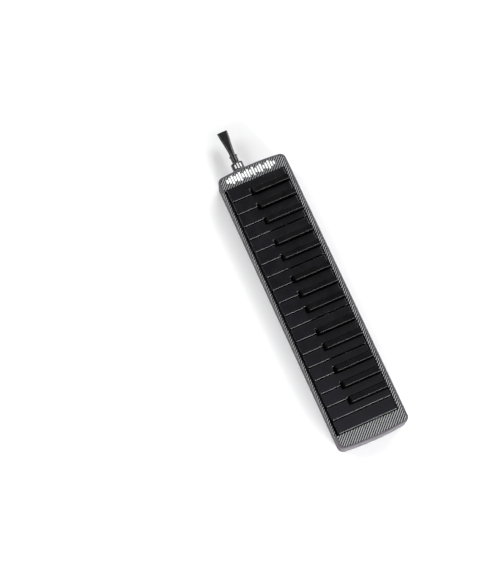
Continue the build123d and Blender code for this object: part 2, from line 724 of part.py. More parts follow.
# ------------------------------------------------------------------ reeds
def reed_span(index, count):
    """The (front, rear) span of a reed: lengths fall evenly, and free ends lie under the ports."""
    length = LONGEST_REED + (SHORTEST_REED - LONGEST_REED) * index / (count - 1)
    rear = PALLET_Y + PORT_LENGTH / 2 - 1.0
    return rear - length, rear


def reed_screw_places(keys):
    """Reed plate screws stand midway between two reeds, in a front and a rear row."""
    centres = [rear_centre(key) for key in keys]
    gaps = [(low + high) / 2 for low, high in zip(centres, centres[1:])]
    chosen = gaps[1::5] + gaps[14:15] + gaps[16:17]
    return [(x, y) for x in sorted(set(chosen)) for y in REED_SCREW_Y]


def make_reed_plates(keys):
    """Two brass plates under the chest deck, each with a slot for every reed it carries."""
    centres = [rear_centre(key) for key in keys]
    half = len(keys) // 2
    middle = (centres[half - 1] + centres[half]) / 2
    ends = [(centres[0] - REED_PLATE_MARGIN, middle - 0.3), (middle + 0.3, centres[-1] + REED_PLATE_MARGIN)]
    z = (REED_PLATE_BOTTOM, CHEST_BOTTOM_DECK)
    cut_z = (REED_PLATE_BOTTOM - CUT, CHEST_BOTTOM_DECK + CUT)
    cuts = []
    for index, centre in enumerate(centres):
        front, rear = reed_span(index, len(keys))
        slot_half = REED_WIDTH / 2 + REED_SLOT_CLEARANCE
        cuts.append(block(around(centre, slot_half), (front + REED_HEEL, rear + REED_SLOT_CLEARANCE), cut_z))
        cuts.append(rod_z(centre, front + REED_HEEL / 2, cut_z, RIVET_RADIUS + 0.02))
    for x, y in reed_screw_places(keys):
        cuts.append(rod_z(x, y, cut_z, SCREW_CLEAR))
    return group([block(x, REED_PLATE_Y, z) - cuts for x in ends])


def make_reed_tongues(keys):
    """Brass reeds under the plates, each over its slot."""
    tongues = []
    for index, key in enumerate(keys):
        centre = rear_centre(key)
        front, rear = reed_span(index, len(keys))
        z = (REED_BOTTOM, REED_PLATE_BOTTOM)
        tongue = block(around(centre, REED_WIDTH / 2), (front, rear), z)
        hole_z = (REED_BOTTOM - CUT, REED_PLATE_BOTTOM + CUT)
        tongues.append(tongue - rod_z(centre, front + REED_HEEL / 2, hole_z, RIVET_RADIUS + 0.02))
    return group(tongues)


def make_reed_rivets(keys):
    """One rivet through the heel of each reed."""
    rivets = []
    for index, key in enumerate(keys):
        place = (rear_centre(key), reed_span(index, len(keys))[0] + REED_HEEL / 2)
        head = rod_z(*place, (REED_BOTTOM - RIVET_HEAD_HEIGHT, REED_BOTTOM), RIVET_HEAD_RADIUS)
        rivets.append(head + rod_z(*place, (REED_BOTTOM, CHEST_BOTTOM_DECK), RIVET_RADIUS))
    return group(rivets)


def make_reed_plate_screws(keys):
    """Small screws that hold the reed plates up against the chest deck."""
    length = REED_PLATE_THICKNESS + REED_SCREW_DEPTH - 0.2
    return group([screw(x, y, REED_PLATE_BOTTOM, length) for x, y in reed_screw_places(keys)])


# ------------------------------------------------------------------ mouthpiece
def outwards(distance):
    """X at a distance out from the low end of the case."""
    return LOW_END - distance


def mouthpiece_rod(near, far, radius):
    """Cylinder on the mouthpiece's axis between two distances out from the case."""
    return rod_x((outwards(far), outwards(near)), MOUTHPIECE_Y, MOUTHPIECE_Z, radius)


def flat_section(distance, width, height):
    """Section of the blade: a flat oval across the mouthpiece's axis."""
    plane = Plane(
        origin=(outwards(distance), MOUTHPIECE_Y, MOUTHPIECE_Z),
        x_dir=(0, 1, 0),
        z_dir=(-1, 0, 0),
    )
    return plane * RectangleRounded(width, height, 0.48 * height)


def make_collar():
    """Grip with flutes along it and eased rims."""
    near = COLLAR_STANDOFF
    collar = mouthpiece_rod(near, near + COLLAR_LENGTH, COLLAR_RADIUS)
    collar = fillet(collar.edges().filter_by(GeomType.CIRCLE), 0.8)
    flute_x = (outwards(near + COLLAR_LENGTH - 1.6), outwards(near + 1.6))
    flute = rod_x(flute_x, 0, COLLAR_RADIUS + 0.35, FLUTE_RADIUS)
    axis = Pos(0, MOUTHPIECE_Y, MOUTHPIECE_Z)
    step = 360 / COLLAR_FLUTES
    return collar - [axis * Rot(step * (i + 0.5), 0, 0) * flute for i in range(COLLAR_FLUTES)]


def make_mouthpiece():
    """Spigot, collar, neck and flat blade in one moulding, with the airway through it."""
    body = mouthpiece_rod(-SPIGOT_LENGTH, COLLAR_STANDOFF + CUT, SPIGOT_RADIUS)
    body = chamfer(body.faces().sort_by(Axis.X)[-1].edges(), 0.6)
    body += make_collar()
    for near, far, radius in NECK_STAGES:
        body += mouthpiece_rod(near, far, radius)
    blade = loft([flat_section(*section) for section in BLADE_SECTIONS])
    blade = fillet(blade.faces().sort_by(Axis.X)[0].edges(), 1.0)
    body += blade

    half_groove = RING_GROOVE_WIDTH / 2
    groove = mouthpiece_rod(-RING_PLACE - half_groove, -RING_PLACE + half_groove, SPIGOT_RADIUS + CUT)
    core_radius = ring_middle() - RING_WIRE - FIT
    groove -= mouthpiece_rod(-RING_PLACE - 2 * half_groove, -RING_PLACE + 2 * half_groove, core_radius)
    body -= groove

    airway_end = BLADE_SECTIONS[0][0]
    body -= mouthpiece_rod(-SPIGOT_LENGTH - CUT, airway_end, AIRWAY_RADIUS)
    reach = BLADE_SECTIONS[-1][0]
    body -= loft([
        flat_section(airway_end - CUT, 2 * AIRWAY_RADIUS, 2 * AIRWAY_RADIUS),
        flat_section(reach + CUT, AIR_SLOT_WIDTH, AIR_SLOT_HEIGHT),
    ])
    thumb_rest = block(
        (outwards(37.5), outwards(28.5)),
        around(MOUTHPIECE_Y, 1.7),
        (MOUTHPIECE_Z + 3.1, MOUTHPIECE_Z + 6),
    )
    return body - fillet(thumb_rest.edges().filter_by(Axis.Z), 1.6)


def ring_middle():
    """Radius of the middle of the sealing ring's wire."""
    return SOCKET_BORE - FIT - RING_WIRE


def make_mouthpiece_ring():
    """Rubber ring that seals the spigot in its socket."""
    place = Pos(outwards(-RING_PLACE), MOUTHPIECE_Y, MOUTHPIECE_Z)
    return place * Rot(0, 90, 0) * Torus(ring_middle(), RING_WIRE)


def make_mouthpiece_socket():
    """Sleeve through the end wall into the air duct, with a flange inside the case."""
    sleeve = mouthpiece_rod(-SOCKET_LENGTH, -0.6, SOCKET_RADIUS)
    sleeve += rod_x((LOW_END + WALL + 0.9, DUCT_LOW - FIT), MOUTHPIECE_Y, MOUTHPIECE_Z, SOCKET_FLANGE)
    return sleeve - mouthpiece_rod(-SOCKET_LENGTH - CUT, CUT, SOCKET_BORE)


# ------------------------------------------------------------------ air duct and drain
def shrink(span, amount):
    """A span drawn in at both ends."""
    return span[0] + amount, span[1] - amount


def make_air_duct():
    """Closed box that leads the air from the mouthpiece socket to the end of the chest."""
    x = (DUCT_LOW, CHEST_LOW)
    duct = block(x, DUCT_Y, DUCT_Z)
    duct = fillet(duct.edges().filter_by(Axis.X), 2.0)
    duct -= block(shrink(x, DUCT_WALL), shrink(DUCT_Y, DUCT_WALL), shrink(DUCT_Z, DUCT_WALL))
    inlet_x = (DUCT_LOW - CUT, DUCT_LOW + DUCT_WALL + CUT)
    duct -= rod_x(inlet_x, MOUTHPIECE_Y, MOUTHPIECE_Z, SOCKET_RADIUS + FIT)
    return duct - block((CHEST_LOW - DUCT_WALL - CUT, CHEST_LOW + CUT), OUTLET_Y, OUTLET_Z)


def make_drain_housing():
    """Closed box at the high end of the chest where moisture gathers above the drain valve."""
    x = (CHEST_HIGH, DRAIN_WALL)
    housing = block(x, DRAIN_HOUSING_Y, DRAIN_HOUSING_Z)
    housing = fillet(housing.edges().filter_by(Axis.X), 2.0)
    housing -= block(
        shrink(x, DUCT_WALL),
        shrink(DRAIN_HOUSING_Y, DUCT_WALL),
        shrink(DRAIN_HOUSING_Z, DUCT_WALL),
    )
    housing -= block((CHEST_HIGH - CUT, CHEST_HIGH + DUCT_WALL + CUT), OUTLET_Y, OUTLET_Z)
    outlet_x = (DRAIN_WALL - DUCT_WALL - CUT, DRAIN_WALL + CUT)
    return housing - rod_x(outlet_x, DRAIN_Y, DRAIN_Z, DRAIN_OUTLET_RADIUS)


def seal_span():
    """The (low, high) span of the drain seal, just inside the housing's outer wall."""
    high = DRAIN_WALL - DUCT_WALL - FIT
    return high - SEAL_THICKNESS, high


def make_drain_button():
    """Push button, flush with the high end, with a stem through the drain housing's wall."""
    head = rod_x((BUTTON_FLANGE[1], HIGH_END), DRAIN_Y, DRAIN_Z, BUTTON_RADIUS)
    head = fillet(head.faces().sort_by(Axis.X)[-1].edges(), 0.9)
    flange = rod_x(BUTTON_FLANGE, DRAIN_Y, DRAIN_Z, BUTTON_FLANGE_RADIUS)
    cap_high = seal_span()[0]
    stem = rod_x((cap_high, BUTTON_FLANGE[0]), DRAIN_Y, DRAIN_Z, STEM_RADIUS)
    cap = rod_x((cap_high - STEM_CAP_THICKNESS, cap_high), DRAIN_Y, DRAIN_Z, STEM_CAP_RADIUS)
    return head + flange + stem + cap


def make_drain_seal():
    """Rubber washer that closes the drain outlet from inside."""
    washer = rod_x(seal_span(), DRAIN_Y, DRAIN_Z, SEAL_RADIUS)
    low, high = seal_span()
    return washer - rod_x((low - CUT, high + CUT), DRAIN_Y, DRAIN_Z, STEM_RADIUS + FIT)


def make_drain_spring():
    """Coil spring between the drain housing and the button's flange."""
    room = BUTTON_FLANGE[0] - DRAIN_WALL - 2 * DRAIN_SPRING_WIRE - 2 * FIT
    helix = Helix(room / DRAIN_SPRING_TURNS, room, DRAIN_SPRING_RADIUS)
    section = Plane(origin=helix @ 0, z_dir=helix % 0) * Circle(DRAIN_SPRING_WIRE)
    coil = sweep(section, helix, is_frenet=True)
    return Pos(DRAIN_WALL + DRAIN_SPRING_WIRE + FIT, DRAIN_Y, DRAIN_Z) * Rot(0, 90, 0) * coil


# ------------------------------------------------------------------ hand strap
def make_hand_strap():
    """Soft band that lies flat in the recess in the underside."""
    strap = block(
        around(0, STRAP_HALF_LENGTH),
        around(0, STRAP_WIDTH / 2),
        (CLAMP_TOP, STRAP_TOP),
    )
    strap = fillet(strap.edges().filter_by(Axis.Z), 4.0)
    for x in (-STRAP_SCREW_X, STRAP_SCREW_X):
        strap -= rod_z(x, 0, (CLAMP_TOP - CUT, STRAP_TOP + CUT), SCREW_CLEAR)
    return strap


def make_strap_clamps():
    """Plates that hold the strap's ends against the case."""
    clamps = []
    for x in (-STRAP_SCREW_X, STRAP_SCREW_X):
        z = (CLAMP_TOP - CLAMP_THICKNESS, CLAMP_TOP)
        clamp = block(around(x, CLAMP_LENGTH / 2), around(0, STRAP_WIDTH / 2 - 1), z)
        clamp = fillet(clamp.edges().filter_by(Axis.Z), 3.0)
        clamp -= rod_z(x, 0, (z[0] - CUT, z[1] + CUT), SCREW_CLEAR)
        clamps.append(clamp - rod_z(x, 0, (z[0] - CUT, z[0] + HEAD_HEIGHT / 2), HEAD_RADIUS + 0.1))
    return group(clamps)


def make_strap_screws():
    """One screw through each clamp and the strap into the case."""
    seat = CLAMP_TOP - CLAMP_THICKNESS + HEAD_HEIGHT / 2
    length = STRAP_BOSS_TOP - RECESS_SHELL - CUT - seat
    return group([screw(x, 0, seat, length) for x in (-STRAP_SCREW_X, STRAP_SCREW_X)])


# ------------------------------------------------------------------ all the nodes
def main():
    os.makedirs("parts", exist_ok=True)
    keys = key_layout()
    nodes = {
        "top_cover": make_top_cover(),
        "bottom_case": make_bottom_case(),
        "rubber_feet": make_rubber_feet(),
        "case_screws": make_case_screws(),
        "wind_chest": make_wind_chest(keys),
        "chest_lid": make_chest_lid(),
        "chest_gasket": make_chest_gasket(),
        "chest_screws": make_chest_screws(),
        "reed_plates": make_reed_plates(keys),
        "reed_tongues": make_reed_tongues(keys),
        "reed_rivets": make_reed_rivets(keys),
        "reed_plate_screws": make_reed_plate_screws(keys),
        "key_rail": make_key_rail(keys),
        "key_rod": make_key_rod(),
        "key_springs": make_key_springs(keys),
        "key_felt": make_key_felt(),
        "air_duct": make_air_duct(),
        "mouthpiece_socket": make_mouthpiece_socket(),
        "mouthpiece": make_mouthpiece(),
        "mouthpiece_ring": make_mouthpiece_ring(),
        "drain_housing": make_drain_housing(),
        "drain_button": make_drain_button(),
        "drain_seal": make_drain_seal(),
        "drain_spring": make_drain_spring(),
        "hand_strap": make_hand_strap(),
        "strap_clamps": make_strap_clamps(),
        "strap_screws": make_strap_screws(),
    }
    for key in keys:
        nodes[key[0]] = make_key(key)
    for name, shape in nodes.items():
        solids = shape.solids()
        whole = solids[0] if len(solids) == 1 else Compound(children=list(solids))
        export_step(whole, f"parts/{name}.step")


main()
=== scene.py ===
"""Looks for the melodica: woven-look shell, satin black keys, gloss mouthpiece, soft studio light."""
import math

import bmesh
import bpy
from mathutils import Matrix, Vector


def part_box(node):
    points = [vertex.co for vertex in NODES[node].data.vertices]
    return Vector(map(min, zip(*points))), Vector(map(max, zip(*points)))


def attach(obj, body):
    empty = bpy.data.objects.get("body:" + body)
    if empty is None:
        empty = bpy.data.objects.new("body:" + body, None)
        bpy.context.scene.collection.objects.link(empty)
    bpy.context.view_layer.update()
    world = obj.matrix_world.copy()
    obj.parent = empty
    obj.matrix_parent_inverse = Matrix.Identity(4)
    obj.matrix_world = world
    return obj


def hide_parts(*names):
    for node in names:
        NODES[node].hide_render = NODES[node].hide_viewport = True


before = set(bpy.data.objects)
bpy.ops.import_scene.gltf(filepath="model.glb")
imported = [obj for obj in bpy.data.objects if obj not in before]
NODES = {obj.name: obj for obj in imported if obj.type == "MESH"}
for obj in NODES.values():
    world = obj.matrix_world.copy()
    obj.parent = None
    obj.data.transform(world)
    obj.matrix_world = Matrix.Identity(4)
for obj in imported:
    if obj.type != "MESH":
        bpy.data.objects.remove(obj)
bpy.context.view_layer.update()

MM = 0.001

# ------------------------------------------------------------------ driving values
# The camera looks steeply down from beside the high end, with the row running down the picture.
CAMERA_PLACE = Vector((0.4450, -0.2819, 2.1236))
CAMERA_AIM = Vector((-0.0164, -0.0743, 0.0405))
CAMERA_ROLL = math.radians(66.66)
LENS = 94.1
SENSOR = 36.0
CAMERA_FAR = 30.0

# Woven print on the shell: a two-over-two twill of tows this wide. It is inset from the
# cover's edge to lie inside the groove, with round corners and bowed ends.
TOW = 1.064 * MM
PRINT_INSET = 3.25 * MM
PRINT_CORNER = 5.75 * MM
END_BOW = 3.3 * MM
# On the front rail the print wraps over the edge and stops part of the way down, in a thin line of
# painted shade that stands in for a groove's shade.
# The rail runs along the keys and a margin past the outer two, and lies below the panels.
RAIL_INNER = 3.45 * MM
RAIL_PRINT_DEPTH = 6.5 * MM
RAIL_TOP_DROP = 2.5 * MM
# Width of the painted shade line under the rail's print.
PAINTED_SHADE_LINE = 0.35 * MM
WINDOW_MARGIN = 1.6 * MM
# The print fades over this width at its edge, and as a face's normal leans from FLAT to TILTED.
PRINT_FADE = 0.15 * MM
TILTED, FLAT = 0.985, 0.998
# Each strand passes over two tows and then under two. Its colour is painted lighter where it stands
# highest and darker at its flanks, a painted highlight and painted shade on each strand.
TOWS_OVER = 2.0
TOWS_IN_REPEAT = 4.0
# Strand heights at which the painted crown highlight begins and is full.
CROWN_HIGHLIGHT_FROM, CROWN_HIGHLIGHT_FULL = 0.44, 0.84
SILVER_TINT = -0.01
WEAVE_RELIEF = 0.05 * MM
LACQUER_ROUGH = (0.30, 0.42)

# Generic print on the low panel: a row of sound-level bars, their heights in millimetres. It
# stands BAR_PLACE from the cover's low end.
BAR_WIDTH = 2.9 * MM
BAR_PITCH = 4.1 * MM
BAR_HEIGHTS = (6.0, 9.4, 13.4, 8.2, 11.6, 14.0, 7.0, 10.4, 13.2, 9.2,
               14.0, 7.4, 11.2, 13.0, 6.4, 10.0, 13.6, 8.4, 6.0)
BAR_PLACE = 12.0 * MM
BAR_ROW_MIDDLE = -3.0 * MM
BAR_END_STEPS = 8
PRINT_THICKNESS = 0.03 * MM
# Three short white bars on the mouthpiece's collar, as (middle across it, length) in millimetres.
# They stand COLLAR_MIDDLE before the case.
COLLAR_BARS = ((-4.2, 5.4), (0.0, 8.4), (4.2, 6.6))
COLLAR_BAR_WIDTH = 2.4 * MM
COLLAR_MIDDLE = 6.6 * MM
COLLAR_WHITE = 0.82

# Hand strap: its grid, how it fills its recess, its slight unevenness, and its woven yarns.
STRAP_ROWS = 120
STRAP_COLUMNS = 16
STRAP_FILL = 0.8
STRAP_LIFT = 0.12 * MM
STRAP_SAG = 0.10 * MM
STRAP_EDGE_DROP = 0.12 * MM
STRAP_RIPPLE = 0.04 * MM
STRAP_RIPPLE_RATE = 40.0
STRAP_RIPPLE_SLANT = 2.0
STRAP_YARN = 1.3 * MM
STRAP_RIB = 1.1 * MM

# Colours, roughness and shine of the plastics and the brass.
SHELL_DARK = (0.078, 0.072, 0.083, 1)
SHELL_LIGHT = (0.096, 0.088, 0.101, 1)
SHELL_ROUGH = (0.66, 0.80)
SHELL_SHINE = 0.30
NATURAL_DARK = (0.0010, 0.0009, 0.0022, 1)
NATURAL_LIGHT = (0.0024, 0.0021, 0.0042, 1)
SHARP_DARK = (0.0012, 0.0011, 0.0014, 1)
SHARP_LIGHT = (0.0024, 0.0022, 0.0028, 1)
NATURAL_ROUGH = (0.20, 0.28)
SHARP_ROUGH = (0.22, 0.32)
NATURAL_SHINE = 0.50
SHARP_SHINE = 0.22
BRASS_DARK = (0.50, 0.34, 0.13, 1)
BRASS_LIGHT = (0.66, 0.48, 0.21, 1)
# A noise is centred on one half, and most of it lies between these two.
NOISE_LOW, NOISE_HIGH = 0.3, 0.7
# The middle of a noise, for a stronger contrast.
MIDDLE_LOW, MIDDLE_HIGH = 0.35, 0.65

# Studio: a plain floor just under the feet, a faint world and four lights.
FLOOR_REACH = 8.0
FLOOR_DROP = 0.2 * MM
WORLD_COLOUR = (0.97, 0.98, 1.0, 1)
WORLD_STRENGTH = 0.18
WHITE = (1.0, 1.0, 1.0)
# Name, place, aim, size, power and colour. The low card beyond the high end draws the bright
# line along each key's edge; the two at the left stand off the keys' corners, so that they draw
# no lines along the other edges.
LIGHTS = (
    ("low_side", (2.1, 0.1, 0.65), (0.0, 0.0, 0.0), (1.8, 0.9), 110.0, WHITE),
    ("overhead", (0.40, 0.45, 3.0), (0.3, 0.3, 0.0), (0.9, 1.4), 2.5, (0.86, 0.89, 1.0)),
    ("front_left", (-1.7, -1.5, 1.7), (-0.2, 0.0, 0.0), (2.0, 1.4), 46.0, WHITE),
    ("back_left", (-1.5, 1.6, 1.7), (-0.2, 0.0, 0.0), (2.2, 1.4), 66.0, WHITE),
)


# ------------------------------------------------------------------ material helpers
class Shader:
    """A material around one Principled shader, with short ways to add nodes."""

    def __init__(self, name, **values):
        self.material = bpy.data.materials.new(name)
        self.material.use_nodes = True
        self.tree = self.material.node_tree
        self.principled = self.tree.nodes["Principled BSDF"]
        for socket, value in values.items():
            self.principled.inputs[socket.replace("_", " ")].default_value = value
        self.place = self.add("ShaderNodeTexCoord").outputs["Object"]

    def add(self, kind, *inputs, **settings):
        node = self.tree.nodes.new(kind)
        for name, value in settings.items():
            setattr(node, name, value)
        for socket, value in zip(node.inputs, inputs):
            self.set(socket, value)
        return node

    def set(self, socket, value):
        if isinstance(value, bpy.types.NodeSocket):
            self.tree.links.new(value, socket)
        else:
            socket.default_value = value

    def math(self, operation, *inputs):
        return self.add("ShaderNodeMath", *inputs, operation=operation).outputs[0]

    def split(self, vector):
        """The three components of a vector."""
        return self.add("ShaderNodeSeparateXYZ", vector).outputs

    def between(self, value, low, high, out_low=0.0, out_high=1.0):
        """Value mapped smoothly from (low, high) to (out_low, out_high)."""
        node = self.add("ShaderNodeMapRange", value, low, high, out_low, out_high)
        node.interpolation_type = "SMOOTHSTEP"
        return node.outputs[0]

    def mix(self, factor, first, second):
        node = self.add("ShaderNodeMix", data_type="RGBA")
        self.set(node.inputs["Factor"], factor)
        self.set(node.inputs[6], first)
        self.set(node.inputs[7], second)
        return node.outputs[2]

    def noise(self, scale, detail, roughness=0.5, place=None):
        node = self.add("ShaderNodeTexNoise")
        self.set(node.inputs["Vector"], place or self.place)
        node.inputs["Scale"].default_value = scale
        node.inputs["Detail"].default_value = detail
        node.inputs["Roughness"].default_value = roughness
        return node.outputs["Fac"]

    def uneven(self, noise, low=0.0, high=1.0):
        """The bulk of a noise, mapped to (low, high)."""
        return self.between(noise, NOISE_LOW, NOISE_HIGH, low, high)

    def strong(self, noise, low=0.0, high=1.0):
        """The middle of a noise, mapped to (low, high)."""
        return self.between(noise, MIDDLE_LOW, MIDDLE_HIGH, low, high)

    def stretched(self, x, y, z):
        """The place in the frame, scaled along each axis."""
        node = self.add("ShaderNodeMapping")
        self.set(node.inputs["Vector"], self.place)
        node.inputs["Scale"].default_value = (x, y, z)
        return node.outputs[0]

    def colour(self, value):
        self.set(self.principled.inputs["Base Color"], value)

    def roughness(self, value):
        self.set(self.principled.inputs["Roughness"], value)

    def bump(self, height, distance, strength):
        node = self.add("ShaderNodeBump")
        node.inputs["Strength"].default_value = strength
        node.inputs["Distance"].default_value = distance
        self.set(node.inputs["Height"], height)
        self.set(self.principled.inputs["Normal"], node.outputs[0])


def grey(level, warm=0.0):
    """A grey, a little redder where warm is above zero and a little bluer below it."""
    return (level * (1 + warm), level, level * (1 - warm), 1.0)


# ------------------------------------------------------------------ materials
def moulded(name, dark, light, rough, **values):
    """Moulded plastic: a faint cloudiness, fine texture and slightly uneven gloss."""
    s = Shader(name, **values)
    cloud = s.noise(scale=35.0, detail=3.0)
    s.colour(s.mix(s.uneven(cloud), dark, light))
    smear = s.noise(scale=90.0, detail=4.0, roughness=0.65)
    s.roughness(s.uneven(smear, *rough))
    fine = s.noise(scale=1400.0, detail=2.0, roughness=0.6)
    s.bump(fine, distance=0.02 * MM, strength=0.5)
    return s.material


def twill(s, x, y, z):
    """The woven print's colour, with a painted highlight on each strand's crown and painted shade at
    its flanks, and the height of its strands.
    """
    # Tow numbers and the place across each tow.
    column = s.math("DIVIDE", x, TOW)
    row = s.math("DIVIDE", s.math("ADD", y, z), TOW)
    step = s.math("ADD", s.math("FLOOR", column), s.math("FLOOR", row))
    phase = s.math("FLOORED_MODULO", step, TOWS_IN_REPEAT)
    across = s.math("FRACT", column)
    along = s.math("FRACT", row)
    warp_up = s.math("LESS_THAN", phase, TOWS_OVER - 0.5)
    weft_up = s.math("SUBTRACT", 1.0, warp_up)

    def arch(value, span):
        return s.math("SINE", s.math("MULTIPLY", value, math.pi / span))

    # The square root keeps the strands nearly full height along the part that floats on top.
    float_arch = arch(s.math("ADD", phase, along), TOWS_OVER)
    float_height = s.math("SQRT", s.math("MAXIMUM", float_arch, 0.0))
    warp = s.math("MULTIPLY", arch(across, 1.0), float_height)
    weft_phase = s.math("SUBTRACT", phase, TOWS_OVER)
    weft_arch = arch(s.math("ADD", weft_phase, across), TOWS_OVER)
    weft = s.math("MULTIPLY", arch(along, 1.0), weft_arch)
    height = s.math("ADD", s.math("MULTIPLY", warp, warp_up), s.math("MULTIPLY", weft, weft_up))

    fibres = s.noise(scale=1.0, detail=2.0, place=s.stretched(9000.0, 500.0, 500.0))
    silver = s.mix(s.uneven(fibres), grey(0.54, SILVER_TINT), grey(0.84, SILVER_TINT))
    dark = grey(0.006)
    # Silver and dark are the print; the ramp with the strand's height is a painted highlight on its
    # crown and painted shade at its flanks.
    warp_colour = s.mix(s.between(warp, CROWN_HIGHLIGHT_FROM, CROWN_HIGHLIGHT_FULL), dark, silver)
    # The weft gets the same painted highlight on its crown and painted shade at its flanks, on its
    # near-black.
    weft_colour = s.mix(s.between(weft, 0.1, 0.9), dark, grey(0.018))
    return s.mix(warp_up, weft_colour, warp_colour), height


def print_on_top(s, x, y):
    """Where the print covers what faces straight up, inside the groove with its round corners."""
    normal_up = s.split(s.add("ShaderNodeTexCoord").outputs["Normal"])[2]
    faces_up = s.between(normal_up, TILTED, FLAT)
    low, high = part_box("top_cover")
    middle_x = (low.x + high.x) / 2
    reach_x = (high.x - low.x) / 2 - PRINT_INSET - PRINT_CORNER
    reach_y = (high.y - low.y) / 2 - PRINT_INSET - PRINT_CORNER
    # The ends bow outwards, so the print's ends follow the bow.
    bow = s.math("MULTIPLY", s.math("POWER", s.math("DIVIDE", y, high.y), 2.0), END_BOW)
    past_x = s.math("SUBTRACT", s.math("ABSOLUTE", s.math("SUBTRACT", x, middle_x)), reach_x)
    past_x = s.math("ADD", past_x, bow)
    past_y = s.math("SUBTRACT", s.math("ABSOLUTE", y), reach_y)
    corner_x = s.math("POWER", s.math("MAXIMUM", past_x, 0.0), 2.0)
    corner_y = s.math("POWER", s.math("MAXIMUM", past_y, 0.0), 2.0)
    corner = s.math("SQRT", s.math("ADD", corner_x, corner_y))
    within = s.math("MINIMUM", s.math("MAXIMUM", past_x, past_y), 0.0)
    inside = s.math("SUBTRACT", PRINT_CORNER, s.math("ADD", corner, within))
    return s.math("MULTIPLY", s.between(inside, 0.0, PRINT_FADE), faces_up)


def print_on_rail(s, x, y, z):
    """Where the print wraps over the front rail, and the thin line of painted shade that ends it."""
    low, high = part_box("top_cover")
    window_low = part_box("key_f3")[0].x - WINDOW_MARGIN
    window_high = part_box("key_c6")[1].x + WINDOW_MARGIN
    along_rail = s.math("MULTIPLY", s.math("GREATER_THAN", x, window_low),
                        s.math("LESS_THAN", x, window_high))
    before_keys = s.math("LESS_THAN", y, low.y + RAIL_INNER)
    below_panels = s.math("LESS_THAN", z, high.z - RAIL_TOP_DROP)
    rail = s.math("MULTIPLY", s.math("MULTIPLY", along_rail, before_keys), below_panels)
    print_end = high.z - RAIL_PRINT_DEPTH
    above_end = s.math("GREATER_THAN", z, print_end)
    above_line = s.math("GREATER_THAN", z, print_end - PAINTED_SHADE_LINE)
    # The thin band just below the print's end is the painted shade line.
    line = s.math("MULTIPLY", rail, s.math("SUBTRACT", above_line, above_end))
    return s.math("MULTIPLY", rail, above_end), line


def woven_shell():
    """Twill print under lacquer on the panels and rails, smooth dark grey elsewhere."""
    s = Shader("patterned_shell", Specular_IOR_Level=SHELL_SHINE)
    x, y, z = s.split(s.place)
    weave, height = twill(s, x, y, z)
    on_rail, line = print_on_rail(s, x, y, z)
    printed = s.math("MAXIMUM", print_on_top(s, x, y), on_rail)
    bare = s.math("SUBTRACT", 1.0, printed)

    cloud = s.noise(scale=30.0, detail=3.0)
    plain = s.mix(s.uneven(cloud), SHELL_DARK, SHELL_LIGHT)
    # Painted shade: the bare shell is darkened to near black in a thin band below the rail's print.
    edge = s.mix(line, plain, grey(0.012))
    s.colour(s.mix(printed, edge, weave))
    smear = s.noise(scale=120.0, detail=4.0, roughness=0.6)
    satin = s.math("MULTIPLY", s.uneven(smear, *LACQUER_ROUGH), printed)
    matt = s.math("MULTIPLY", s.uneven(smear, *SHELL_ROUGH), bare)
    s.roughness(s.math("ADD", satin, matt))
    fine = s.noise(scale=1500.0, detail=2.0, roughness=0.6)
    relief = s.math("ADD", s.math("MULTIPLY", height, printed), s.math("MULTIPLY", fine, 0.15))
    s.bump(relief, distance=WEAVE_RELIEF, strength=0.6)
    return s.material


def key_plastic(name, dark, light, rough, shine):
    """Satin key plastic with faint drawn marks along the key and finger polish."""
    s = Shader(name, Specular_IOR_Level=shine)
    cloud = s.noise(scale=28.0, detail=3.0)
    s.colour(s.mix(s.uneven(cloud), dark, light))
    strokes = s.noise(scale=1.0, detail=3.0, place=s.stretched(1600.0, 60.0, 400.0))
    polish = s.noise(scale=60.0, detail=3.0, roughness=0.6)
    wear = s.math("ADD", s.math("MULTIPLY", strokes, 0.4), s.math("MULTIPLY", polish, 0.6))
    s.roughness(s.strong(wear, *rough))
    s.bump(s.noise(scale=1800.0, detail=2.0, roughness=0.6), distance=0.02 * MM, strength=0.35)
    return s.material


def collar_bars(s):
    """Where the generic bars are printed on the collar: 1 inside them, 0 elsewhere."""
    x, y, z = s.split(s.place)
    case_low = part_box("top_cover")[0]
    mouthpiece_low, mouthpiece_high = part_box("mouthpiece")
    centre_y = (mouthpiece_low.y + mouthpiece_high.y) / 2
    centre_z = (mouthpiece_low.z + mouthpiece_high.z) / 2
    along = s.math("ABSOLUTE", s.math("SUBTRACT", x, case_low.x - COLLAR_MIDDLE))
    on_top = s.math("GREATER_THAN", z, centre_z)
    marks = None
    for middle, length in COLLAR_BARS:
        across = s.math("ABSOLUTE", s.math("SUBTRACT", y, centre_y + middle * MM))
        bar = s.math("MULTIPLY", s.math("LESS_THAN", across, COLLAR_BAR_WIDTH / 2),
                     s.math("LESS_THAN", along, length * MM / 2))
        marks = bar if marks is None else s.math("MAXIMUM", marks, bar)
    return s.math("MULTIPLY", marks, on_top)


def gloss_black():
    """Polished black plastic with moulding flow marks."""
    s = Shader("mouthpiece_black", Coat_Weight=0.2, Coat_Roughness=0.05, Specular_IOR_Level=0.35)
    flow = s.noise(scale=1.0, detail=3.0, place=s.stretched(120.0, 260.0, 260.0))
    black = s.mix(s.strong(flow), grey(0.006), grey(0.012))
    s.colour(s.mix(collar_bars(s), black, grey(COLLAR_WHITE)))
    s.roughness(s.uneven(s.noise(scale=150.0, detail=4.0, roughness=0.6), 0.16, 0.30))
    s.bump(flow, distance=0.03 * MM, strength=0.4)
    return s.material


def metal(name, low, high, rough, direction=(1.0, 1.0, 1.0), scale=900.0):
    """Bare metal with fine marks that run along one axis."""
    s = Shader(name, Metallic=1.0)
    grain = s.stretched(*(scale * share for share in direction))
    marks = s.noise(scale=1.0, detail=4.0, roughness=0.6, place=grain)
    cloud = s.noise(scale=70.0, detail=3.0)
    tone = s.math("ADD", s.math("MULTIPLY", marks, 0.6), s.math("MULTIPLY", cloud, 0.4))
    s.colour(s.mix(s.strong(tone), low, high))
    s.roughness(s.uneven(marks, *rough))
    s.bump(marks, distance=0.01 * MM, strength=0.5)
    return s.material


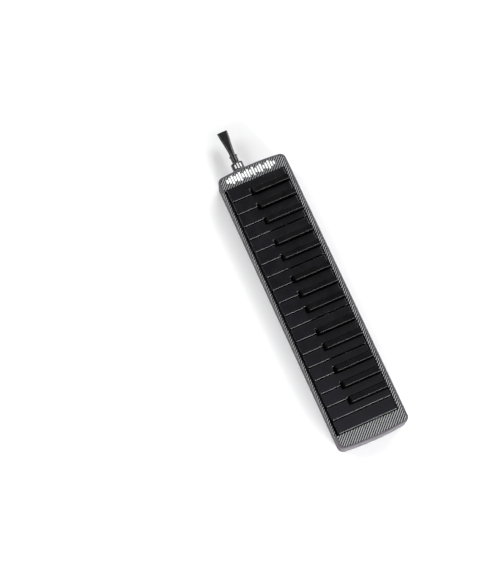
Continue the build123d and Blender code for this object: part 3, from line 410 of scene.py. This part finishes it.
def felt():
    """Pressed wool: tangled fibres and a soft sheen."""
    s = Shader("felt", Roughness=0.95, Sheen_Weight=0.6)
    fibres = s.noise(scale=2200.0, detail=6.0, roughness=0.75)
    clumps = s.noise(scale=260.0, detail=3.0)
    tone = s.math("ADD", s.math("MULTIPLY", fibres, 0.6), s.math("MULTIPLY", clumps, 0.4))
    s.colour(s.mix(s.uneven(tone), grey(0.006), grey(0.030)))
    s.bump(fibres, distance=0.2 * MM, strength=0.8)
    return s.material


def webbing():
    """Woven polyester: ribs across the strap and yarns along it, with painted shade in the hollows
    between them.
    """
    s = Shader("strap_fabric", Roughness=0.85, Sheen_Weight=0.35, Sheen_Roughness=0.4)
    x, y, _ = s.split(s.place)
    along = s.math("DIVIDE", x, STRAP_RIB)
    across = s.math("DIVIDE", y, STRAP_YARN)
    parity = s.math("FLOORED_MODULO", s.math("FLOOR", across), 2.0)
    shifted = s.math("ADD", along, s.math("MULTIPLY", parity, 0.5))
    ribs = s.math("ABSOLUTE", s.math("SINE", s.math("MULTIPLY", shifted, math.pi)))
    yarns = s.math("ABSOLUTE", s.math("SINE", s.math("MULTIPLY", across, math.pi)))
    weave = s.math("MULTIPLY", ribs, yarns)
    fuzz = s.noise(scale=2500.0, detail=3.0, roughness=0.7)
    tone = s.math("ADD", weave, s.math("MULTIPLY", fuzz, 0.3))
    # Painted shade: the colour darkens where the ribs and yarns dip, in the hollows between them.
    s.colour(s.mix(s.between(tone, 0.1, 1.1), grey(0.008), grey(0.040, -0.03)))
    s.bump(weave, distance=0.25 * MM, strength=0.8)
    return s.material


def print_ink():
    """White screen-printed ink with a slightly uneven cover."""
    s = Shader("print_ink", Roughness=0.45)
    cover = s.noise(scale=900.0, detail=4.0, roughness=0.7)
    s.colour(s.mix(s.between(cover, 0.3, 0.6), grey(0.78), grey(0.90)))
    s.bump(cover, distance=0.01 * MM, strength=0.5)
    return s.material


def dress_nodes():
    """Gives every CAD node its material."""
    inner = moulded("inner_plastic", grey(0.030), grey(0.045), rough=(0.5, 0.65))
    steel_screw = metal("screw_steel", grey(0.34), grey(0.50), rough=(0.28, 0.45), scale=2500.0)
    brass = metal("reed_brass", BRASS_DARK, BRASS_LIGHT, rough=(0.22, 0.38),
                  direction=(3.0, 0.15, 1.0))
    rubber = moulded("soft_rubber", grey(0.018), grey(0.030), rough=(0.72, 0.88))
    rod = metal("rod_steel", grey(0.50), grey(0.64), rough=(0.18, 0.30),
                direction=(0.1, 2.5, 2.5))
    black_gloss = gloss_black()
    looks = {
        "top_cover": woven_shell(),
        "bottom_case": moulded("dark_shell", SHELL_DARK, SHELL_LIGHT, rough=SHELL_ROUGH,
                               Specular_IOR_Level=SHELL_SHINE),
        "rubber_feet": rubber,
        "case_screws": steel_screw,
        "wind_chest": inner,
        "chest_lid": inner,
        "chest_gasket": moulded("gasket_rubber", grey(0.10), grey(0.14), rough=(0.75, 0.9)),
        "chest_screws": steel_screw,
        "reed_plates": brass,
        "reed_tongues": brass,
        "reed_rivets": brass,
        "reed_plate_screws": steel_screw,
        "key_rail": moulded("grey_plastic", grey(0.28), grey(0.36), rough=(0.5, 0.65)),
        "key_rod": rod,
        "key_springs": rod,
        "key_felt": felt(),
        "air_duct": inner,
        "mouthpiece_socket": rubber,
        "mouthpiece": black_gloss,
        "mouthpiece_ring": rubber,
        "drain_housing": inner,
        "drain_button": black_gloss,
        "drain_seal": rubber,
        "drain_spring": rod,
        "strap_clamps": inner,
        "strap_screws": steel_screw,
    }
    natural = key_plastic("natural_key", NATURAL_DARK, NATURAL_LIGHT, NATURAL_ROUGH, NATURAL_SHINE)
    sharp = key_plastic("sharp_key", SHARP_DARK, SHARP_LIGHT, SHARP_ROUGH, SHARP_SHINE)
    for name, node in NODES.items():
        if name in looks:
            material = looks[name]
        elif "_sharp_" in name:
            material = sharp
        elif name.startswith("key_"):
            material = natural
        else:
            continue
        node.data.materials.clear()
        node.data.materials.append(material)


# ------------------------------------------------------------------ mesh helpers
def add_object(name, data):
    added = bpy.data.objects.new(name, data)
    bpy.context.scene.collection.objects.link(added)
    return added


def finish_mesh(bm, name, material, smooth):
    """A new piece from the bmesh, with one material."""
    bmesh.ops.recalc_face_normals(bm, faces=bm.faces)
    data = bpy.data.meshes.new(name)
    bm.to_mesh(data)
    bm.free()
    data.materials.append(material)
    for face in data.polygons:
        face.use_smooth = smooth
    return add_object(name, data)


def rounded_bar(bm, width, length, thickness):
    """Flat bar with round ends at the origin, its length along Y, as a thin closed plate."""
    radius = width / 2
    outline = []
    for sign in (1, -1):
        middle_y = sign * (length / 2 - radius)
        start = 0.0 if sign > 0 else math.pi
        for i in range(BAR_END_STEPS + 1):
            angle = start + math.pi * i / BAR_END_STEPS
            outline.append((radius * math.cos(angle), middle_y + radius * math.sin(angle)))
    lower = [bm.verts.new((px, py, 0.0)) for px, py in outline]
    upper = [bm.verts.new((px, py, thickness)) for px, py in outline]
    bm.faces.new(upper)
    bm.faces.new(list(reversed(lower)))
    count = len(outline)
    for i in range(count):
        j = (i + 1) % count
        bm.faces.new((lower[i], lower[j], upper[j], upper[i]))


# ------------------------------------------------------------------ pieces
def make_print():
    """The sound-level bars on the low panel, in place of lettering."""
    low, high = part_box("top_cover")
    bm = bmesh.new()
    centre_x = low.x + BAR_PLACE
    first_y = BAR_ROW_MIDDLE - BAR_PITCH * (len(BAR_HEIGHTS) - 1) / 2
    quarter_turn = Matrix.Rotation(math.pi / 2, 4, "Z")
    for i, reach in enumerate(BAR_HEIGHTS):
        # Each bar runs along X, so it is drawn along Y at the origin, then turned and moved.
        rounded_bar(bm, BAR_WIDTH, reach * MM, PRINT_THICKNESS)
        move = Matrix.Translation((centre_x, first_y + i * BAR_PITCH, high.z))
        made = [v for v in bm.verts if not v.tag]
        bmesh.ops.transform(bm, matrix=move @ quarter_turn, verts=made)
        for v in made:
            v.tag = True
    piece = finish_mesh(bm, "level_bars", print_ink(), smooth=False)
    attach(piece, "body")


def make_strap():
    """The woven hand strap, stretched flat between its clamps."""
    low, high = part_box("hand_strap")
    middle_y = (low.y + high.y) / 2
    half = (high.y - low.y) / 2
    length = high.x - low.x
    thickness = (high.z - low.z) * STRAP_FILL
    bm = bmesh.new()
    grid = []
    for i in range(STRAP_ROWS + 1):
        t = i / STRAP_ROWS
        x = low.x + length * t
        # It sags a little between the clamps and its edges curl down slightly.
        sag = STRAP_SAG * math.sin(math.pi * t) ** 2
        line = []
        for j in range(STRAP_COLUMNS + 1):
            u = -1 + 2 * j / STRAP_COLUMNS
            edge = STRAP_EDGE_DROP * abs(u) ** 4
            wave = t * STRAP_RIPPLE_RATE + u * STRAP_RIPPLE_SLANT
            ripple = STRAP_RIPPLE * math.sin(wave)
            z = low.z + STRAP_LIFT + thickness / 2 - sag - edge + ripple
            line.append(bm.verts.new((x, middle_y + half * u, z)))
        grid.append(line)
    for i in range(STRAP_ROWS):
        for j in range(STRAP_COLUMNS):
            bm.faces.new((grid[i][j], grid[i + 1][j], grid[i + 1][j + 1], grid[i][j + 1]))
    strap = finish_mesh(bm, "woven_strap", webbing(), smooth=True)
    solid = strap.modifiers.new("thickness", "SOLIDIFY")
    solid.thickness = thickness
    solid.offset = 0.0
    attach(strap, "body")
    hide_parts("hand_strap")


# ------------------------------------------------------------------ stage
def make_camera():
    """The camera at its place, aimed and rolled."""
    data = bpy.data.cameras.new("camera")
    data.lens = LENS
    data.sensor_width = SENSOR
    camera = add_object("camera", data)
    back = (CAMERA_PLACE - CAMERA_AIM).normalized()
    right = Vector((0, 1, 0)).cross(back).normalized()
    up = back.cross(right)
    turned_right = right * math.cos(CAMERA_ROLL) + up * math.sin(CAMERA_ROLL)
    turned_up = up * math.cos(CAMERA_ROLL) - right * math.sin(CAMERA_ROLL)
    matrix = Matrix((turned_right, turned_up, back)).transposed().to_4x4()
    matrix.translation = CAMERA_PLACE
    camera.matrix_world = matrix
    data.clip_end = CAMERA_FAR
    bpy.context.scene.camera = camera


def area_light(name, place, aim, size, power, colour):
    """A rectangular light at a place, facing its aim."""
    data = bpy.data.lights.new(name, "AREA")
    data.shape = "RECTANGLE"
    data.size, data.size_y = size
    data.energy = power
    data.color = colour
    light = add_object(name, data)
    light.location = place
    light.rotation_euler = (Vector(aim) - Vector(place)).to_track_quat("-Z", "Y").to_euler()


def make_stage():
    """The pale floor, the world's light and the lights around the piece."""
    bm = bmesh.new()
    signs = ((-1, -1), (1, -1), (1, 1), (-1, 1))
    corners = [(sx * FLOOR_REACH, sy * FLOOR_REACH, -FLOOR_DROP) for sx, sy in signs]
    bm.faces.new([bm.verts.new(corner) for corner in corners])
    s = Shader("floor", Roughness=0.9, Specular_IOR_Level=0.1)
    s.colour(s.mix(s.uneven(s.noise(scale=3.0, detail=3.0)), grey(0.86), grey(0.90)))
    floor = finish_mesh(bm, "floor", s.material, smooth=False)

    world = bpy.data.worlds.new("studio")
    bpy.context.scene.world = world
    world.use_nodes = True
    background = world.node_tree.nodes["Background"]
    background.inputs["Color"].default_value = WORLD_COLOUR
    background.inputs["Strength"].default_value = WORLD_STRENGTH
    for light in LIGHTS:
        area_light(*light)
    view = bpy.context.scene.view_settings
    view.view_transform = "Standard"
    view.look = "None"
    view.exposure = 0.0


make_camera()
make_stage()
dress_nodes()
make_print()
make_strap()
